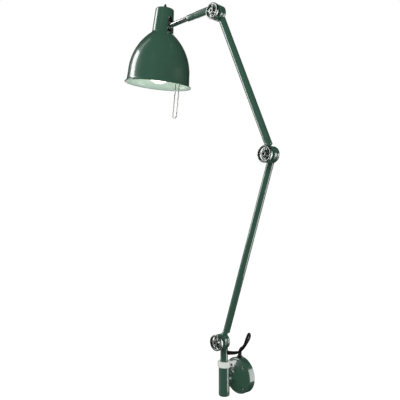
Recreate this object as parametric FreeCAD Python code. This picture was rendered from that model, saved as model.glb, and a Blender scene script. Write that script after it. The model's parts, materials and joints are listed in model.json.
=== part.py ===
import FreeCAD, Part
import math
import os

from FreeCAD import Vector

# Articulated wall lamp: a domed wall plate with a stub and an upright socket, a swivel pin,
# two tubes with half-lapped knuckles and handwheels, and a bell shade on a chrome rod.
# Frame: origin at the middle of the wall plate on the wall, +Z up, -Y into the room.
# Millimetres and degrees. "Forward" of the arm plane means towards the room.

os.makedirs("parts", exist_ok=True)

# ---- driving dimensions -------------------------------------------------------------------
# wall cover, back plate and what they hold
cover_radius = 40.0
cover_side_depth = 14.0
cover_shoulder = 5.0
cover_crown_depth = 29.0
cover_wall = 1.5
back_plate_thickness = 3.0
back_plate_clearance = 0.4
cover_screw_circle = 32.0
cover_screw_count = 4
cover_screw_radius = 2.0
cover_screw_head_radius = 3.6
cover_screw_head_height = 2.4
cover_screw_seat_depth = 18.0
cover_screw_head_clearance = 0.4
cover_screw_head_round = 1.44
cover_screw_tip_gap = 4.0
cover_screw_slot_width = 0.8
cover_screw_slot_depth = 1.0
pillar_radius = 4.0
wall_hole_spacing = 56.0
wall_hole_radius = 2.5
terminal_size = (22.0, 11.0, 9.0)
terminal_drop = 27.0
terminal_poles = 3
terminal_screw_radius = 1.4
terminal_screw_depth = 6.6
gland_inset = 8.0
gland_radius = 5.0
gland_flange_radius = 6.5
gland_flange_height = 3.0
gland_depth = 5.0
gland_round = 1.5
gland_cord_seat = 1.2

# stub, socket and swivel
stub_length = 54.5
stub_radius = 8.0
stub_bore_radius = 5.0
stub_flange_radius = 15.0
stub_flange_thickness = 4.0
stub_bore_floor = 3.0
collar_base_radius = 13.0
collar_length = 9.0
collar_overlap = 2.2
collar_foot_height = 1.6
collar_foot_taper = 1.8
collar_waist_height = 4.5
collar_waist_wall = 2.6
collar_lip_wall = 1.0
socket_radius = 12.0
socket_top = 28.0
socket_length = 63.0
socket_end_round = 2.5
socket_floor = 5.0
liner_wall = 1.3
ring_radius = 14.5
ring_height = 12.3
ring_slit = 1.6
ring_ear_length = 7.0
ring_ear_thickness = 3.4
ring_ear_root = 4.0
ring_ear_inset = 1.0
ring_ear_screw_inset = 1.5
ring_ear_turn = 48.0
ring_round = 1.2
ring_screw_radius = 1.5
ring_screw_head_radius = 2.7
ring_screw_head_height = 2.0
ring_nut_height = 1.8
pin_radius = 8.25
pin_bore_radius = 4.0
pin_end_gap = 4.0
pin_clearance = 0.08
knuckle_base_drop = 21.0
knuckle_spigot_length = 8.0
cord_exit_height = 59.0
cord_exit_turn = 36.9
grommet_radius = 4.5
grommet_length = 2.0
grommet_depth = 3.0

# arms
swing = 7.0
lower_pivot_height = 85.0
lower_arm_length = 418.0
lower_arm_lean = 18.1
lower_tube_radius = 7.5
upper_arm_length = 352.0
upper_arm_lean = -23.8
upper_tube_radius = 8.0
tube_wall = 1.2
tube_start = 30.0
spigot_length = 14.0
spigot_bore_radius = 3.5

# knuckles, counted forward from the arm plane
eye_radius = 17.0
far_eye_back = -1.0
far_step_radius = 14.0
far_step_depth = 3.0
far_eye_front = 6.0
friction_washer_thickness = 1.0
near_eye_thickness = 8.0
thrust_washer_thickness = 1.0
eye_sweep_gap = 0.8
neck_reach = 6.0
neck_slant_radius_share = 0.82
neck_slant_drop = 0.5
neck_slant_end_gap = 3.0
neck_collar_length = 8.0
eye_back_relief_radius = 15.3
bolt_radius = 4.0
bolt_head_radius = 7.0
bolt_head_thickness = 3.0
bolt_clearance = 0.05
bolt_head_round = 2.1
bolt_end_gap = 0.5
friction_washer_radius = 15.0
thrust_washer_radius = 8.5

# handwheels
wheel_radius = 17.5
wheel_rim_width = 4.0
wheel_rim_depth = 6.0
wheel_rim_plane = 9.0
wheel_hub_radius = 7.4
wheel_hub_length = 13.5
wheel_spokes = 4
wheel_spoke_width = 4.2
wheel_spoke_depth = 4.0
wheel_hole_radius = 2.2
wheel_hole_depth = 3.0
wheel_rim_round = 1.44
wheel_hub_round = 1.4
wheel_turn = 10.0
wheel_sweep_gap = 6.3

# rod that carries the shade
rod_offset = 12.5
rod_reach = 180.0
rod_radius = 6.0
rod_bore_radius = 3.5
rod_clearance = 0.08
rod_inner_end = 22.0
rod_end_gap = 1.0
head_socket_radius = 8.0
head_socket_start = 5.0
head_socket_end = 62.0
head_web_length = 28.9
sleeve_radius = 7.4
sleeve_end = 90.0
ball_radius = 14.0

# shade, in its own frame: origin at the ball's centre, axis upright
shade_tilt = 8.3
shade_wall = 1.2
neck_top = 47.0
neck_top_radius = 22.5
neck_top_round = 3.0
neck_base = -8.0
neck_base_radius = 26.3
shoulder_drop = 6.0
shoulder_radius = 29.5
shoulder_hollow = (-0.6, -0.5)
dome_mid_radius = 60.0
dome_mid_drop = 50.5
dome_low_radius = 76.5
dome_low_drop = 112.0
skirt_radius = 78.0
skirt_drop = 129.0
rim_radius = 82.5
rim_drop = 137.0
flare_hollow = (-0.7, -0.4)
slot_width = 14.0
slot_top = 26.0
slot_bottom = -14.0
housing_radius = 19.6
housing_wall = 2.4
housing_top = 30.0
housing_bottom = -21.0
seat_gap = 0.3
seat_rim_upper = 5.0
seat_rim_lower = -5.0
seat_upper_height = 13.0
seat_lower_height = 13.0
seat_wire_radius = 4.0
spring_wall_gap = 0.3
spring_bore_gap = 3.0
spring_leaf = 1.0
spring_leaf_rise = 1.5
cap_bore_gap = 2.0
housing_ring_gap = 0.1
housing_ring_rise = 1.0
holder_radius = 20.0
holder_length = 33.0
holder_bore_radius = 13.5
holder_floor = 5.0
holder_round = 2.0
lamp_cap_radius = 13.2
lamp_cap_length = 26.0
lamp_radius = 30.0
lamp_total_length = 104.0
lamp_cap_gap = 3.0
lamp_glass = 1.0
lamp_neck_bow = 1.2
lamp_join_angle = 14.3239
lamp_mid_angle = 34.3775

# switch on the neck, handle under the rim
switch_body_radius = 8.0
switch_body_length = 13.0
switch_bush_radius = 4.4
switch_bush_rise = 2.0
switch_knob_radius = 5.0
switch_knob_tip_radius = 1.4
switch_knob_height = 9.5
switch_knob_waist_radius = 4.1
switch_knob_waist_height = 2.85
handle_wire_radius = 1.5
handle_width = 11.0
handle_below_rim = 80.0
handle_above_rim = 26.0
handle_wall_gap = 0.4
clip_height = 8.0
clip_thickness = 1.5
clip_side = 5.0
clip_drop = 2.0
clip_wall_gap = 0.05
edge_search_slack = 0.01

# mains cord: free loop from the swivel pin to the gland on the wall cover
cord_radius = 2.5
cord_setback_share = 0.45

# ---- derived places -----------------------------------------------------------------------
near_eye_back = far_eye_front + friction_washer_thickness
near_eye_front = near_eye_back + near_eye_thickness
wheel_back = near_eye_front + thrust_washer_thickness
shank_end = wheel_back + wheel_hub_length - wheel_hole_depth - bolt_end_gap
socket_bottom = socket_top - socket_length
ring_top = socket_top + ring_height
knuckle_base = lower_pivot_height - knuckle_base_drop
rod_plane = (near_eye_back + near_eye_front) / 2
liner_radius = pin_radius + pin_clearance + liner_wall
spring_height = 2 * (spring_leaf_rise + spring_leaf)


def lean_direction(lean):
    angle = math.radians(lean)
    return Vector(math.sin(angle), 0, math.cos(angle))


lower_pivot = Vector(0, 0, lower_pivot_height)
middle_pivot = lower_pivot + lean_direction(lower_arm_lean) * lower_arm_length
upper_pivot = middle_pivot + lean_direction(upper_arm_lean) * upper_arm_length
ball_centre = upper_pivot + Vector(-rod_reach, -rod_plane, rod_offset)


# ---- helpers ------------------------------------------------------------------------------
def at(x, forward, z):
    """A point given by its distance forward of the arm plane."""
    return Vector(x, -forward, z)


def rod_between(radius, start, end):
    direction = end - start
    return Part.makeCylinder(radius, direction.Length, start, direction)


def tube_between(outer, inner, start, end):
    return rod_between(outer, start, end).cut(rod_between(inner, start, end))


def disc(radius, back, front):
    """A disc square to the arm plane, between two distances forward of it."""
    return rod_between(radius, at(0, back, 0), at(0, front, 0))


def turned(points, origin, axis):
    """Revolve a closed outline of (radius, height) points round an axis."""
    side = Vector(1, 0, 0)
    corners = [origin + side * radius + axis * height for radius, height in points]
    outline = Part.makePolygon(corners + [corners[0]])
    return Part.Face(outline).revolve(origin, axis, 360)


def fused(shapes):
    return shapes[0].multiFuse(shapes[1:]).removeSplitter()


def moved(shape, pivot=Vector(0, 0, 0), lean=0.0):
    """Lean an upright piece over and put its foot at a pivot."""
    result = shape.copy()
    result.rotate(Vector(0, 0, 0), Vector(0, 1, 0), lean)
    result.translate(pivot)
    return result


def swung(shape):
    """Carry a piece from the arm's frame to the wall's frame."""
    result = shape.copy()
    result.rotate(Vector(0, 0, 0), Vector(0, 0, 1), swing)
    result.translate(Vector(0, -stub_length, 0))
    return result


def save(name, shape):
    shape.exportStep("parts/%s.step" % name)


def group(shapes):
    return Part.makeCompound(shapes)


def edges_at(shape, side, value):
    """Edges whose box has that side, such as ZMin, at a value."""
    return [edge for edge in shape.Edges if abs(getattr(edge.BoundBox, side) - value) < edge_search_slack]


# ---- wall side ----------------------------------------------------------------------------
def around_wall_axis(radius, angle, depth):
    turn = math.radians(angle)
    return Vector(radius * math.cos(turn), -depth, radius * math.sin(turn))


def cover_screw_angles():
    step = 360.0 / cover_screw_count
    return [step * (index + 0.5) for index in range(cover_screw_count)]


def cover_solid(inset):
    """The domed form, drawn in by the inset: side wall, rounded shoulder and crowned front."""
    radius = cover_radius - inset
    side = cover_side_depth
    bend = cover_shoulder - inset
    diagonal = bend * math.sqrt(0.5)
    front = side + bend
    crown = cover_crown_depth - inset
    flat = radius - bend
    side_line = Part.LineSegment(Vector(radius, 0, 0), Vector(radius, -side, 0))
    shoulder = Part.Arc(Vector(radius, -side, 0),
                        Vector(flat + diagonal, -side - diagonal, 0),
                        Vector(flat, -front, 0))
    rise = crown - front
    dome_radius = (flat ** 2 + rise ** 2) / (2 * rise)
    half = flat / 2
    half_depth = crown - dome_radius + math.sqrt(dome_radius ** 2 - half ** 2)
    dome = Part.Arc(Vector(flat, -front, 0), Vector(half, -half_depth, 0), Vector(0, -crown, 0))
    axis_line = Part.LineSegment(Vector(0, -crown, 0), Vector(0, 0, 0))
    base_line = Part.LineSegment(Vector(0, 0, 0), Vector(radius, 0, 0))
    edges = [piece.toShape() for piece in (side_line, shoulder, dome, axis_line, base_line)]
    return Part.Face(Part.Wire(edges)).revolve(Vector(0, 0, 0), Vector(0, 1, 0), 360)


def wall_cover():
    """Spun cover with a pressed pocket round each screw head."""
    form = cover_solid(0)
    pocket_radius = cover_screw_head_radius + cover_screw_head_clearance
    cover = form.cut(cover_solid(cover_wall))
    pockets = []
    cuts = [rod_between(stub_radius + back_plate_clearance / 2, Vector(0, 0, 0),
                        Vector(0, -stub_length, 0))]
    for angle in cover_screw_angles():
        behind = around_wall_axis(cover_screw_circle, angle, cover_screw_seat_depth - cover_wall)
        seat = around_wall_axis(cover_screw_circle, angle, cover_screw_seat_depth)
        outside = around_wall_axis(cover_screw_circle, angle, cover_crown_depth)
        pockets.append(rod_between(pocket_radius + cover_wall, behind, outside).common(form))
        cuts.append(rod_between(pocket_radius, seat, outside))
        cuts.append(rod_between(cover_screw_radius, behind, seat))
    cuts.append(rod_between(gland_radius, Vector(0, -gland_inset, 0),
                            Vector(0, -gland_inset, cover_radius + gland_flange_height)))
    return fused([cover] + pockets).cut(group(cuts))


def back_plate():
    radius = cover_radius - cover_wall - back_plate_clearance
    plate = rod_between(radius, Vector(0, 0, 0), Vector(0, -back_plate_thickness, 0))
    pillar_end = cover_screw_seat_depth - cover_wall
    pillars = []
    threads = []
    for angle in cover_screw_angles():
        foot = around_wall_axis(cover_screw_circle, angle, back_plate_thickness)
        top = around_wall_axis(cover_screw_circle, angle, pillar_end)
        pillars.append(rod_between(pillar_radius, foot, top))
        threads.append(rod_between(cover_screw_radius, foot, top))
    inside = cover_solid(cover_wall + back_plate_clearance / 4)
    plate = fused([plate] + pillars).common(inside).cut(group(threads))
    holes = []
    for side in (-1, 1):
        place = side * wall_hole_spacing / 2
        holes.append(rod_between(wall_hole_radius, Vector(place, 0, 0),
                                 Vector(place, -back_plate_thickness, 0)))
    return plate.cut(group(holes))


def cover_screws():
    screws = []
    tip_depth = back_plate_thickness + cover_screw_tip_gap
    for angle in cover_screw_angles():
        seat = around_wall_axis(cover_screw_circle, angle, cover_screw_seat_depth)
        crown = around_wall_axis(cover_screw_circle, angle,
                                 cover_screw_seat_depth + cover_screw_head_height)
        tip = around_wall_axis(cover_screw_circle, angle, tip_depth)
        head = rod_between(cover_screw_head_radius, seat, crown)
        head = head.makeFillet(cover_screw_head_round, edges_at(head, "YMax", crown.y))
        slot = Part.makeBox(4 * cover_screw_head_radius, cover_screw_slot_depth,
                            cover_screw_slot_width)
        slot.translate(Vector(crown.x - 2 * cover_screw_head_radius, crown.y,
                              crown.z - cover_screw_slot_width / 2))
        screws.append(head.fuse(rod_between(cover_screw_radius, tip, seat)).cut(slot))
    return group(screws)


def terminal_block():
    width, depth, height = terminal_size
    block = Part.makeBox(width, depth, height)
    block.translate(Vector(-width / 2, -back_plate_thickness - depth, -terminal_drop - height / 2))
    pitch = width / terminal_poles
    holes = []
    for pole in range(terminal_poles):
        x = (pole - (terminal_poles - 1) / 2) * pitch
        front = -back_plate_thickness - depth
        holes.append(rod_between(terminal_screw_radius, Vector(x, front, -terminal_drop),
                                 Vector(x, front + terminal_screw_depth,
                                        -terminal_drop)))
    return block.cut(group(holes))


def cord_gland():
    top = cover_radius + gland_flange_height
    flange = rod_between(gland_flange_radius, Vector(0, -gland_inset, cover_radius),
                         Vector(0, -gland_inset, top))
    flange = flange.makeFillet(gland_round, edges_at(flange, "ZMin", top))
    body = rod_between(gland_radius, Vector(0, -gland_inset, cover_radius - gland_depth),
                       Vector(0, -gland_inset, cover_radius))
    bore = rod_between(cord_radius, Vector(0, -gland_inset, cover_radius - gland_depth),
                       Vector(0, -gland_inset, cover_radius + gland_cord_seat))
    return flange.fuse(body).cut(bore).removeSplitter()


def stub():
    flange_back = Vector(0, -back_plate_thickness, 0)
    flange_front = Vector(0, -back_plate_thickness - stub_flange_thickness, 0)
    arm = fused([rod_between(stub_flange_radius, flange_back, flange_front),
                 rod_between(stub_radius, flange_back, Vector(0, -stub_length, 0))])
    bore = rod_between(stub_bore_radius, flange_back,
                       Vector(0, -stub_length + socket_radius + stub_bore_floor, 0))
    return arm.cut(bore).cut(socket_bar(socket_radius))


def stub_collar():
    """A small trumpet that covers the joint between the stub and the dome."""
    foot_depth = cover_crown_depth - collar_overlap
    top_depth = foot_depth + collar_length
    bore = stub_radius
    outline = [(bore, foot_depth), (collar_base_radius, foot_depth),
               (collar_base_radius - collar_foot_taper, foot_depth + collar_foot_height),
               (bore + collar_waist_wall, foot_depth + collar_waist_height),
               (bore + collar_lip_wall, top_depth), (bore, top_depth)]
    ring = turned(outline, Vector(0, 0, 0), Vector(0, -1, 0))
    return ring.cut(cover_solid(0))


def socket_bar(radius):
    return rod_between(radius, Vector(0, -stub_length, socket_bottom),
                       Vector(0, -stub_length, socket_top))


def socket_tube():
    bar = socket_bar(socket_radius)
    bar = bar.makeFillet(socket_end_round, edges_at(bar, "ZMax", socket_bottom))
    bore = rod_between(liner_radius, Vector(0, -stub_length, socket_bottom + socket_floor),
                       Vector(0, -stub_length, socket_top))
    return bar.cut(bore)


def socket_liner():
    return tube_between(liner_radius, pin_radius + pin_clearance,
                        Vector(0, -stub_length, socket_bottom + socket_floor),
                        Vector(0, -stub_length, socket_top))


def ear_place():
    """Middle of the two ears, on the side of the ring that faces the wall and right."""
    return Vector(ring_radius + ring_ear_length / 2 - ring_ear_screw_inset, 0,
                  socket_top + ring_height / 2)


def in_ring_frame(shape):
    result = shape.copy()
    result.rotate(Vector(0, 0, 0), Vector(0, 0, 1), ring_ear_turn)
    result.translate(Vector(0, -stub_length, 0))
    return result


def nylon_ring():
    ring = rod_between(ring_radius, Vector(0, 0, socket_top), Vector(0, 0, ring_top))
    ring = ring.makeFillet(ring_round, edges_at(ring, "ZLength", 0))
    width = ring_slit + 2 * ring_ear_thickness
    ears = Part.makeBox(ring_ear_length + ring_ear_root, width, ring_height - 2 * ring_ear_inset)
    ears.translate(Vector(ring_radius - ring_ear_root, -width / 2, socket_top + ring_ear_inset))
    bore = rod_between(pin_radius + pin_clearance, Vector(0, 0, socket_top),
                       Vector(0, 0, ring_top))
    slit = Part.makeBox(ring_radius + ring_ear_length, ring_slit, ring_height)
    slit.translate(Vector(0, -ring_slit / 2, socket_top))
    middle = ear_place()
    hole = rod_between(ring_screw_radius, middle - Vector(0, width, 0), middle + Vector(0, width, 0))
    return in_ring_frame(ring.fuse(ears).cut(bore).cut(slit).cut(hole))


def ring_screw():
    middle = ear_place()
    half = ring_slit / 2 + ring_ear_thickness
    shank = rod_between(ring_screw_radius, middle - Vector(0, half, 0), middle + Vector(0, half, 0))
    head = rod_between(ring_screw_head_radius, middle - Vector(0, half + ring_screw_head_height, 0),
                       middle - Vector(0, half, 0))
    nut = rod_between(ring_screw_head_radius, middle + Vector(0, half, 0),
                      middle + Vector(0, half + ring_nut_height, 0))
    return in_ring_frame(fused([shank, head, nut]))


# ---- knuckles -----------------------------------------------------------------------------
def far_eye(reach, radius, direction=1):
    """The rear half of a knuckle, with its neck along +Z or -Z to a tube end."""
    plate = disc(eye_radius, far_eye_back, far_eye_front)
    step = disc(far_step_radius, far_eye_back - far_step_depth, far_eye_back)
    neck = rod_between(radius, Vector(0, 0, 0), Vector(0, 0, direction * reach))
    sweep = disc(eye_radius + eye_sweep_gap, far_eye_front, eye_radius * 2)
    casting = fused([plate, step, neck]).cut(sweep)
    behind = disc(eye_back_relief_radius, -eye_radius * 2, far_eye_back - far_step_depth)
    return casting.cut(behind).cut(disc(bolt_radius, -eye_radius, eye_radius))


def near_eye(reach, radius):
    """The front half of a knuckle: a disc, and a slanting neck back to the tube's axis."""
    plate = disc(eye_radius, near_eye_back, near_eye_front)
    slant_start = at(0, rod_plane - neck_slant_drop, neck_reach)
    slant_end = at(0, 0, reach - neck_slant_end_gap)
    slant = rod_between(radius * neck_slant_radius_share, slant_start, slant_end)
    collar = rod_between(radius, Vector(0, 0, reach - neck_collar_length), Vector(0, 0, reach))
    front = disc(eye_radius * 3, near_eye_front, eye_radius * 3)
    sweep = disc(eye_radius + eye_sweep_gap, -eye_radius * 2, near_eye_back)
    casting = fused([plate, slant.cut(front), collar]).cut(sweep)
    return casting.cut(disc(bolt_radius + bolt_clearance, -eye_radius, eye_radius * 2))


def spigot(radius, start, direction=1):
    return tube_between(radius, spigot_bore_radius, Vector(0, 0, start),
                        Vector(0, 0, start + direction * spigot_length))


def carriage_bolt():
    """Head behind the rear eye, shank through both eyes and into the handwheel."""
    head_front = far_eye_back - far_step_depth
    head = disc(bolt_head_radius, head_front - bolt_head_thickness, head_front)
    head = head.makeFillet(bolt_head_round,
                           edges_at(head, "YMin", bolt_head_thickness - head_front))
    shank = disc(bolt_radius, head_front, shank_end)
    return fused([head, shank])


def friction_washer():
    return tube_between(friction_washer_radius, bolt_radius, at(0, far_eye_front, 0),
                        at(0, near_eye_back, 0))


def thrust_washer():
    return tube_between(thrust_washer_radius, bolt_radius + bolt_clearance,
                        at(0, near_eye_front, 0), at(0, wheel_back, 0))


def handwheel():
    """Cast wheel: rim, spokes and a proud hub with a blind hole in its face."""
    rim_back = wheel_back + wheel_rim_plane - wheel_rim_depth / 2
    rim = tube_between(wheel_radius, wheel_radius - wheel_rim_width, at(0, rim_back, 0),
                       at(0, rim_back + wheel_rim_depth, 0))
    rim = rim.makeFillet(wheel_rim_round, edges_at(rim, "YLength", 0))
    hub_front = wheel_back + wheel_hub_length
    hub = disc(wheel_hub_radius, wheel_back, hub_front)
    hub = hub.makeFillet(wheel_hub_round, edges_at(hub, "YMax", -hub_front))
    pieces = [rim, hub]
    spoke_back = wheel_back + wheel_rim_plane - wheel_spoke_depth / 2
    for index in range(wheel_spokes):
        spoke = Part.makeBox(wheel_radius - wheel_rim_width / 2, wheel_spoke_depth,
                             wheel_spoke_width)
        spoke.translate(Vector(0, -spoke_back - wheel_spoke_depth, -wheel_spoke_width / 2))
        spoke.rotate(Vector(0, 0, 0), Vector(0, 1, 0), index * 360.0 / wheel_spokes)
        pieces.append(spoke)
    wheel = fused(pieces)
    wheel = wheel.cut(disc(bolt_radius + bolt_clearance, 0, shank_end))
    wheel = wheel.cut(disc(wheel_hole_radius, shank_end, 2 * hub_front))
    wheel.rotate(Vector(0, 0, 0), Vector(0, 1, 0), wheel_turn)
    return wheel


# ---- swivel -------------------------------------------------------------------------------
def swivel_knuckle():
    eye = far_eye(knuckle_base_drop, pin_radius, -1)
    plug = rod_between(pin_bore_radius, Vector(0, 0, -knuckle_base_drop - knuckle_spigot_length),
                       Vector(0, 0, -knuckle_base_drop))
    return moved(fused([eye, plug]), lower_pivot)


def exit_direction():
    angle = math.radians(cord_exit_turn - swing)
    return Vector(math.cos(angle), math.sin(angle), 0)


def swivel_pin():
    foot = socket_bottom + socket_floor + pin_end_gap
    pin = tube_between(pin_radius, pin_bore_radius, Vector(0, 0, foot), Vector(0, 0, knuckle_base))
    height = Vector(0, 0, cord_exit_height)
    hole = rod_between(cord_radius, height + exit_direction() * (pin_bore_radius / 2),
                       height + exit_direction() * (pin_radius + grommet_length))
    return pin.cut(hole)


def cord_grommet():
    height = Vector(0, 0, cord_exit_height)
    outer = rod_between(grommet_radius, height + exit_direction() * (pin_radius - grommet_depth),
                        height + exit_direction() * (pin_radius + grommet_length))
    rise = Vector(0, 0, 2 * grommet_radius)
    sweep = tube_between(pin_radius + grommet_length, pin_radius, height - rise, height + rise)
    return outer.common(sweep)


# ---- arms ---------------------------------------------------------------------------------
def arm_foot(radius):
    return fused([near_eye(tube_start, radius), spigot(radius - tube_wall, tube_start)])


def arm_head(length, radius):
    eye = fused([far_eye(tube_start, radius, -1), spigot(radius - tube_wall, -tube_start, -1)])
    eye.translate(Vector(0, 0, length))
    return eye


def arm_tube(length, radius):
    return tube_between(radius, radius - tube_wall, Vector(0, 0, tube_start),
                        Vector(0, 0, length - tube_start))


def save_arm(name, pivot, length, lean, radius):
    save(name + "_arm_foot", swung(moved(arm_foot(radius), pivot, lean)))
    save(name + "_arm_tube", swung(moved(arm_tube(length, radius), pivot, lean)))
    save(name + "_arm_head", swung(moved(arm_head(length, radius), pivot, lean)))


def save_joint_hardware(name, pivot):
    save(name + "_bolt", swung(moved(carriage_bolt(), pivot)))
    save(name + "_friction_washer", swung(moved(friction_washer(), pivot)))
    save(name + "_thrust_washer", swung(moved(thrust_washer(), pivot)))
    save(name + "_handwheel", swung(moved(handwheel(), pivot)))


# ---- rod and shade ------------------------------------------------------------------------
def on_rod(distance):
    """A point on the rod's axis, measured from the upper pivot towards the shade."""
    return upper_pivot + Vector(-distance, -rod_plane, rod_offset)


def rod_head():
    plate = moved(disc(eye_radius, near_eye_back, near_eye_front), upper_pivot)
    barrel = rod_between(head_socket_radius, on_rod(head_socket_start), on_rod(head_socket_end))
    web = Part.makeBox(head_web_length, near_eye_thickness, eye_radius)
    web.translate(upper_pivot + Vector(-head_web_length, -near_eye_front, 0))
    behind = moved(disc(eye_radius + eye_sweep_gap, -eye_radius * 2, near_eye_back), upper_pivot)
    before = moved(disc(wheel_radius + wheel_sweep_gap, near_eye_front, eye_radius * 3),
                   upper_pivot)
    casting = fused([plate, web, barrel]).cut(behind).cut(before)
    bore = rod_between(rod_radius + rod_clearance, on_rod(rod_inner_end), on_rod(head_socket_end))
    bolt_hole = moved(disc(bolt_radius + bolt_clearance, 0, eye_radius * 2), upper_pivot)
    return casting.cut(bore).cut(bolt_hole)


def rod_sleeve():
    return tube_between(sleeve_radius, rod_radius + rod_clearance, on_rod(head_socket_end),
                        on_rod(sleeve_end))


def shade_rod():
    start = on_rod(rod_inner_end + rod_end_gap)
    along = on_rod(rod_reach) - start
    rod = rod_between(rod_radius, start, ball_centre)
    ball = Part.makeSphere(ball_radius, ball_centre, along)
    return rod.fuse(ball).cut(rod_between(rod_bore_radius, start, ball_centre))


def in_shade_frame(shape):
    result = shape.copy()
    result.rotate(Vector(0, 0, 0), Vector(0, 1, 0), shade_tilt)
    result.translate(ball_centre)
    return result


def shade_outline():
    """Outer outline from the middle of the neck's top to the rim, as lines and arcs."""
    corner = neck_top_radius - neck_top_round
    bend = neck_top_round * math.sqrt(0.5)
    base = Vector(neck_base_radius, 0, neck_base)
    shoulder = Vector(shoulder_radius, 0, neck_base - shoulder_drop)
    hollow = (base + shoulder) / 2 + Vector(shoulder_hollow[0], 0, shoulder_hollow[1])
    skirt = Vector(skirt_radius, 0, -skirt_drop)
    rim = Vector(rim_radius, 0, -rim_drop)
    flare = (skirt + rim) / 2 + Vector(flare_hollow[0], 0, flare_hollow[1])
    low = Vector(dome_low_radius, 0, -dome_low_drop)
    return [
        Part.LineSegment(Vector(0, 0, neck_top), Vector(corner, 0, neck_top)),
        Part.Arc(Vector(corner, 0, neck_top),
                 Vector(corner + bend, 0, neck_top - neck_top_round + bend),
                 Vector(neck_top_radius, 0, neck_top - neck_top_round)),
        Part.LineSegment(Vector(neck_top_radius, 0, neck_top - neck_top_round), base),
        Part.Arc(base, hollow, shoulder),
        Part.Arc(shoulder, Vector(dome_mid_radius, 0, -dome_mid_drop), low),
        Part.LineSegment(low, skirt),
        Part.Arc(skirt, flare, rim),
    ]


def shade_body():
    """The outline given its wall on the inner side, and revolved."""
    outline = Part.Wire([piece.toShape() for piece in shade_outline()])
    section = outline.makeOffset2D(-shade_wall, 0, True, True, False)
    shell = section.revolve(Vector(0, 0, 0), Vector(0, 0, 1), 360)
    below = rod_between(rim_radius * 2, Vector(0, 0, -rim_drop - rim_radius),
                        Vector(0, 0, -rim_drop))
    return shell.cut(below)


def rod_slot():
    """The upright slot, with round ends, that the rod passes through."""
    half = slot_width / 2
    far = neck_base_radius + shoulder_radius
    box = Part.makeBox(far, slot_width, slot_top - slot_bottom - slot_width)
    box.translate(Vector(0, -half, slot_bottom + half))
    ends = [rod_between(half, Vector(0, 0, height), Vector(far, 0, height))
            for height in (slot_bottom + half, slot_top - half)]
    return fused([box] + ends)


def shade():
    bush_hole = rod_between(switch_bush_radius, Vector(0, 0, neck_top - 2 * shade_wall),
                            Vector(0, 0, neck_top + switch_bush_rise))
    return shade_body().cut(rod_slot()).cut(bush_hole)


def ball_housing():
    tube = tube_between(housing_radius, housing_radius - housing_wall,
                        Vector(0, 0, housing_bottom), Vector(0, 0, housing_top))
    return tube.cut(rod_slot())


def seat_blank(low, high):
    blank = rod_between(housing_radius - housing_wall, Vector(0, 0, low), Vector(0, 0, high))
    hollow = Part.makeSphere(ball_radius + seat_gap, Vector(0, 0, 0))
    wire_way = rod_between(seat_wire_radius, Vector(0, 0, 2 * low - high), Vector(0, 0, 2 * high - low))
    return blank.cut(hollow).cut(wire_way).cut(rod_slot())


def upper_seat():
    return seat_blank(seat_rim_upper, seat_rim_upper + seat_upper_height)


def lower_seat():
    return seat_blank(seat_rim_lower - seat_lower_height, seat_rim_lower)


def seat_spring():
    """A stack of two spring washers between the upper seat and the housing cap."""
    base = seat_rim_upper + seat_upper_height
    outer = housing_radius - housing_wall - spring_wall_gap
    inner = seat_wire_radius + spring_bore_gap
    rim = base + spring_leaf_rise + spring_leaf
    top = base + spring_height
    lower = [(inner, base), (outer, rim - spring_leaf), (outer, rim), (inner, base + spring_leaf)]
    upper = [(inner, top - spring_leaf), (outer, rim), (outer, rim + spring_leaf), (inner, top)]
    return group([turned(leaf, Vector(0, 0, 0), Vector(0, 0, 1)) for leaf in (lower, upper)])


def housing_cap():
    """Threaded ring that closes the housing and loads the spring."""
    base = seat_rim_upper + seat_upper_height + spring_height
    return tube_between(housing_radius - housing_wall, seat_wire_radius + cap_bore_gap,
                        Vector(0, 0, base), Vector(0, 0, housing_top))


def housing_ring():
    """Ring that centres the housing in the neck, above the slot."""
    low = slot_top + housing_ring_rise
    return turned([(housing_radius, low), (neck_bore(low) - housing_ring_gap, low),
                   (neck_bore(housing_top) - housing_ring_gap, housing_top),
                   (housing_radius, housing_top)], Vector(0, 0, 0), Vector(0, 0, 1))


def neck_bore(height):
    """Inner radius of the shade's tapered neck at a height."""
    share = (height - neck_base) / (neck_top - neck_top_round - neck_base)
    return neck_base_radius + (neck_top_radius - neck_base_radius) * share - shade_wall


def lampholder():
    top = housing_bottom
    bottom = top - holder_length
    outer = rod_between(holder_radius, Vector(0, 0, bottom), Vector(0, 0, top))
    bore = rod_between(holder_bore_radius, Vector(0, 0, bottom), Vector(0, 0, top - holder_floor))
    return outer.makeFillet(holder_round, edges_at(outer, "ZMax", bottom)).cut(bore)


def lamp_bulb():
    cap_top = housing_bottom - holder_floor - lamp_cap_gap
    cap_bottom = cap_top - lamp_cap_length
    tip = cap_top - lamp_total_length
    globe_centre = tip + lamp_radius
    join_turn = math.radians(lamp_join_angle)
    mid_turn = math.radians(lamp_mid_angle)
    start = Vector(lamp_cap_radius, 0, cap_bottom)
    join = Vector(lamp_radius * math.cos(join_turn), 0,
                  globe_centre + lamp_radius * math.sin(join_turn))
    bow = (start + join) / 2 - Vector(lamp_neck_bow, 0, 0)
    low = Vector(lamp_radius * math.cos(mid_turn), 0, globe_centre - lamp_radius * math.sin(mid_turn))
    edges = [
        Part.LineSegment(Vector(lamp_cap_radius, 0, cap_top), start),
        Part.Arc(start, bow, join),
        Part.Arc(join, low, Vector(0, 0, tip)),
    ]
    outline = Part.Wire([edge.toShape() for edge in edges])
    section = outline.makeOffset2D(-lamp_glass, 0, True, True, False)
    globe = section.revolve(Vector(0, 0, 0), Vector(0, 0, 1), 360)
    base = rod_between(lamp_cap_radius - lamp_glass / 2, Vector(0, 0, cap_top - 2 * lamp_glass),
                       Vector(0, 0, cap_top))
    return globe.fuse(base)


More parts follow.
